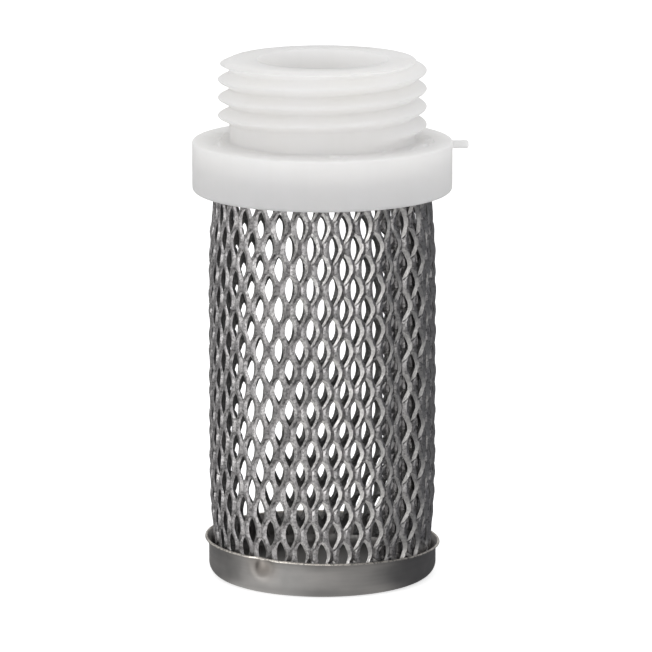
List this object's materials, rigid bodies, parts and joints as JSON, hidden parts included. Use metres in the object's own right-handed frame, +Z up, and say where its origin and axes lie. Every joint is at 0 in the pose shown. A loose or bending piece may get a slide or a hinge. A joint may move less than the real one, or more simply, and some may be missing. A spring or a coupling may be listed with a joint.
{
  "type": "stainless steel filter",
  "caption": "Cylindrical inlet strainer: expanded stainless steel tube with a pressed end cap below and a plastic collar with a male pipe thread above.",
  "frame": {"origin": "centre of the end cap's flat base, which the strainer stands on", "axes": "+Z up the bore to the threaded end, -Y the front that the picture faces, +X towards the moulding stub"},
  "size_m": [0.0278, 0.0262, 0.0528],
  "materials": {
    "natural_nylon": "moulded, whitish and slightly translucent",
    "expanded_steel": "raw slit and stretched sheet, mottled satin",
    "pressed_steel": "matte pressed sheet"
  },
  "bodies": {
    "root": {"threaded_connector": "natural_nylon", "mesh_tube": "expanded_steel", "end_cap": "pressed_steel"}
  },
  "joints": []
}
